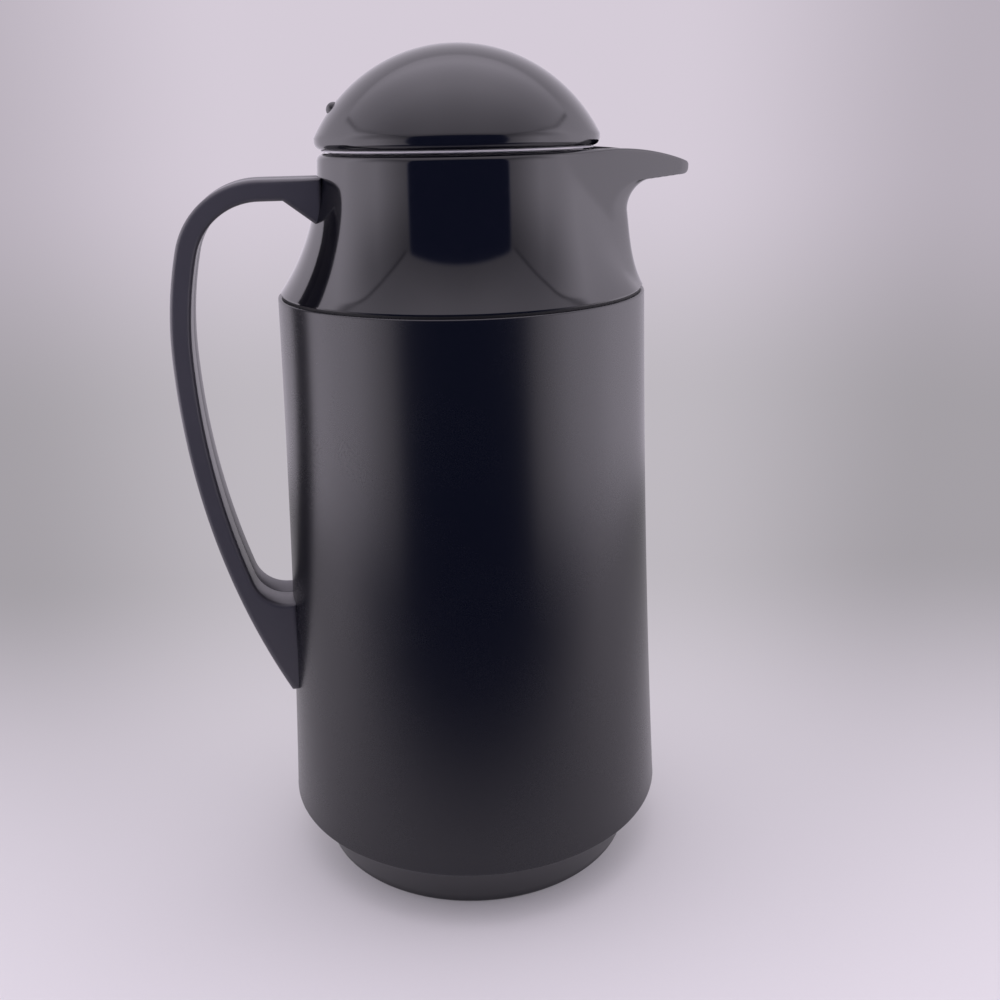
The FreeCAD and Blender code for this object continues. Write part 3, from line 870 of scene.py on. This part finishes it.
# Camera at the photograph's place, turned with the carafe's own heading
heading = math.radians(8.5)
camera_distance = 0.379852
camera_height = 0.265705
camera_pitch = math.radians(19.2958)
camera_yaw = math.radians(1.7861)
camera_roll = math.radians(-1.1039)
photo_focal_pixels = 1081.91
photo_width = 1000

heading_turn = Matrix.Rotation(-heading, 3, "Z")
forward = Vector((
    math.sin(camera_yaw) * math.cos(camera_pitch),
    math.cos(camera_yaw) * math.cos(camera_pitch),
    -math.sin(camera_pitch),
))
level_right = Vector((math.cos(camera_yaw), -math.sin(camera_yaw), 0))
level_up = level_right.cross(forward)
right = math.cos(camera_roll) * level_right + math.sin(camera_roll) * level_up
up = math.cos(camera_roll) * level_up - math.sin(camera_roll) * level_right
camera_turn = heading_turn @ Matrix((right, up, -forward)).transposed()
camera_place = heading_turn @ Vector((0, -camera_distance, camera_height))
camera_data = bpy.data.cameras.new("photo_camera")
camera_data.sensor_width = 36.0
camera_data.lens = photo_focal_pixels * camera_data.sensor_width / photo_width
camera = bpy.data.objects.new("photo_camera", camera_data)
camera.matrix_world = Matrix.Translation(camera_place) @ camera_turn.to_4x4()
bpy.context.scene.collection.objects.link(camera)
bpy.context.scene.camera = camera

# Light: a pale studio tent, open and dark on the side of the camera
backdrop = (0.665, 0.604, 0.686)
tent_half_width = 0.84
tent_height = 0.93
tent_back = 0.90
tent_level = 1.9
ceiling_level = 1.68
opening_level = 0.12
tent_tint = (1.05, 0.97, 1.11)
opening_tint = (0.25, 0.36, 1.0)
edge_softness = 0.03
edge_dimming = 0.28
edge_range = (0.18, 0.46)
edge_front_range = (0.0, 0.25)
wall_top_slope = 0.80
wall_top_gain = 0.18
wall_top_range = (-0.25, 0.15)
wall_dimming = 0.55
wall_rise_range = (0.10, 0.65)
wall_front_range = (-0.2, 0.3)
ceiling_side_range = (0.15, 0.70)
seam_dimming = 0.6
seam_range = (0.006, 0.026)
wall_stops = ((0.0, 0.42), (0.12, 0.45), (0.40, 1.0), (0.69, 1.0), (0.85, 0.48), (0.90, 0.36))
ceiling_stops = (
    (0.14, 0.31),
    (0.25, 0.54),
    (0.35, 0.68),
    (0.50, 0.92),
    (0.56, 1.0),
    (0.77, 1.0),
    (0.88, 0.5),
)

to_camera = heading_turn @ Vector((0, -1, 0))
to_right = heading_turn @ Vector((1, 0, 0))
world = bpy.data.worlds.new("light_tent")
world.use_nodes = True
bpy.context.scene.world = world
tent = Tree(world.node_tree)
direction = tent.add("ShaderNodeTexCoord", {}, {}, "Generated")
front = tent.dot(direction, to_camera)
side = abs(tent.dot(direction, to_right))
rise = tent.dot(direction, (0, 0, 1))


# The backdrop in front of the camera gets darker towards its left and right edges.
def edge_shade(tree, aside, ahead):
    in_front = tree.soft_step(ahead, *edge_front_range)
    return 1 - edge_dimming * tree.soft_step(aside / ahead, *edge_range) * in_front


def beyond(value):
    return tent.soft_step(value, -edge_softness, edge_softness)


# Walls, ceiling and the dark seam between them, by direction.
opening = beyond(front * tent_half_width - side) * beyond(front * tent_height - rise)
wall_top = side * (wall_top_slope + wall_top_gain * tent.soft_step(front, *wall_top_range))
lift = rise / tent_height
above_walls = beyond(lift - front) * beyond(lift + front / tent_back)
ceiling = beyond(rise - wall_top) * above_walls
seam = above_walls * (1 - tent.soft_step(abs(rise - wall_top), *seam_range))
flat_length = (front * front + side * side + 1e-6) ** 0.5
wall_light = tent_level * tent.ramp(0.5 + 0.5 * front / flat_length, *wall_stops)
high_in_front = tent.soft_step(rise, *wall_rise_range) * tent.soft_step(front, *wall_front_range)
wall_fade = 1 - wall_dimming * high_in_front
ceiling_light = ceiling_level * tent.ramp(0.5 - 0.5 * front, *ceiling_stops)
ceiling_fade = 1 - edge_dimming * tent.soft_step(side, *ceiling_side_range)
level = wall_light * wall_fade * (1 - ceiling) + ceiling_light * ceiling_fade * ceiling
tent_strength = level * (1 - seam_dimming * seam) * (1 - opening) + opening_level * opening
tent_colour = tent.mixed(opening, tent_tint, opening_tint)
tent_light = tent.add("ShaderNodeBackground", {}, {"Color": tent_colour, "Strength": tent_strength})
backdrop_inputs = {"Color": (*backdrop, 1.0), "Strength": edge_shade(tent, side, -1 * front)}
seen_backdrop = tent.add("ShaderNodeBackground", {}, backdrop_inputs)
by_camera = tent.add("ShaderNodeLightPath", {}, {}, "Is Camera Ray")
sky = tent.add("ShaderNodeMixShader", {}, {0: by_camera, 1: tent_light, 2: seen_backdrop})
tent.add("ShaderNodeOutputWorld", {}, {"Surface": sky})

# Floor: pale paper that runs out into the backdrop
floor_colour = (0.77, 0.76, 0.755)
floor_fleck = tuple(0.98 * part for part in floor_colour)
floor_radius = 8.0
unlit_colour = (0.03, 0.04, 0.11)
mid_backdrop = (0.515, 0.485, 0.525)
horizon_range = (0.032, 0.25)
run_out_range = (-0.16, 0.26)
far_range = (0.5, 1.2)
dark_front_range = (0.05, 0.28)
walls_range = (0.42, 0.60)
camera_foot = (camera_place.x, camera_place.y, 0)
floor_material, paper = new_finish("floor_paper")
floor_place = paper.place()
away = paper.distance(floor_place, (0, 0, 0))
fibre = paper.noise(floor_place, scale=900.0, detail=3.0)
sheet = paper.add(
    "ShaderNodeBsdfPrincipled",
    {},
    {
        "Base Color": paper.mixed(fibre, floor_fleck, floor_colour),
        "Roughness": 0.85,
        "Specular IOR Level": 0.2,
        "Normal": paper.bump(fibre, strength=0.1, distance=0.0001),
    },
)
behind = paper.dot(floor_place, -to_camera)
nearness = paper.soft_step(camera_height / paper.distance(floor_place, camera_foot), *horizon_range)
# Further out the paper glows in the backdrop's colour as painted light. The glow is darker in the
# middle distance and towards its left and right edges, as painted shade.
far_colour = paper.mixed(nearness, backdrop, mid_backdrop)
aside = abs(paper.dot(floor_place, to_right))
shade = edge_shade(paper, aside, behind + camera_distance)
glow = paper.add("ShaderNodeEmission", {}, {"Color": paper.mixed(shade, (0, 0, 0), far_colour)})
run_out = paper.soft_step(behind, *run_out_range) + paper.soft_step(away, *far_range)
pale_floor = paper.add("ShaderNodeMixShader", {}, {0: run_out, 1: sheet, 2: glow})

# In reflections the floor is dark towards the camera and gives way to the tent's walls further out.
unlit = paper.add("ShaderNodeEmission", {}, {"Color": (*unlit_colour, 1.0)})
mirrored = paper.add("ShaderNodeLightPath", {}, {}, "Is Glossy Ray")
dark_front = mirrored * paper.soft_step(-1 * behind, *dark_front_range)
near_floor = paper.add("ShaderNodeMixShader", {}, {0: dark_front, 1: pale_floor, 2: unlit})
walls = paper.add("ShaderNodeBsdfTransparent", {}, {})
past_floor = mirrored * paper.soft_step(away, *walls_range)
floor_mix = paper.add("ShaderNodeMixShader", {}, {0: past_floor, 1: near_floor, 2: walls})
paper.add("ShaderNodeOutputMaterial", {}, {"Surface": floor_mix})

floor_mesh = bmesh.new()
bmesh.ops.create_circle(floor_mesh, cap_ends=True, segments=96, radius=floor_radius)
floor_data = bpy.data.meshes.new("floor")
floor_mesh.to_mesh(floor_data)
floor_mesh.free()
floor_data.materials.append(floor_material)
floor = bpy.data.objects.new("floor", floor_data)
bpy.context.scene.collection.objects.link(floor)

bpy.context.scene.view_settings.view_transform = "Standard"
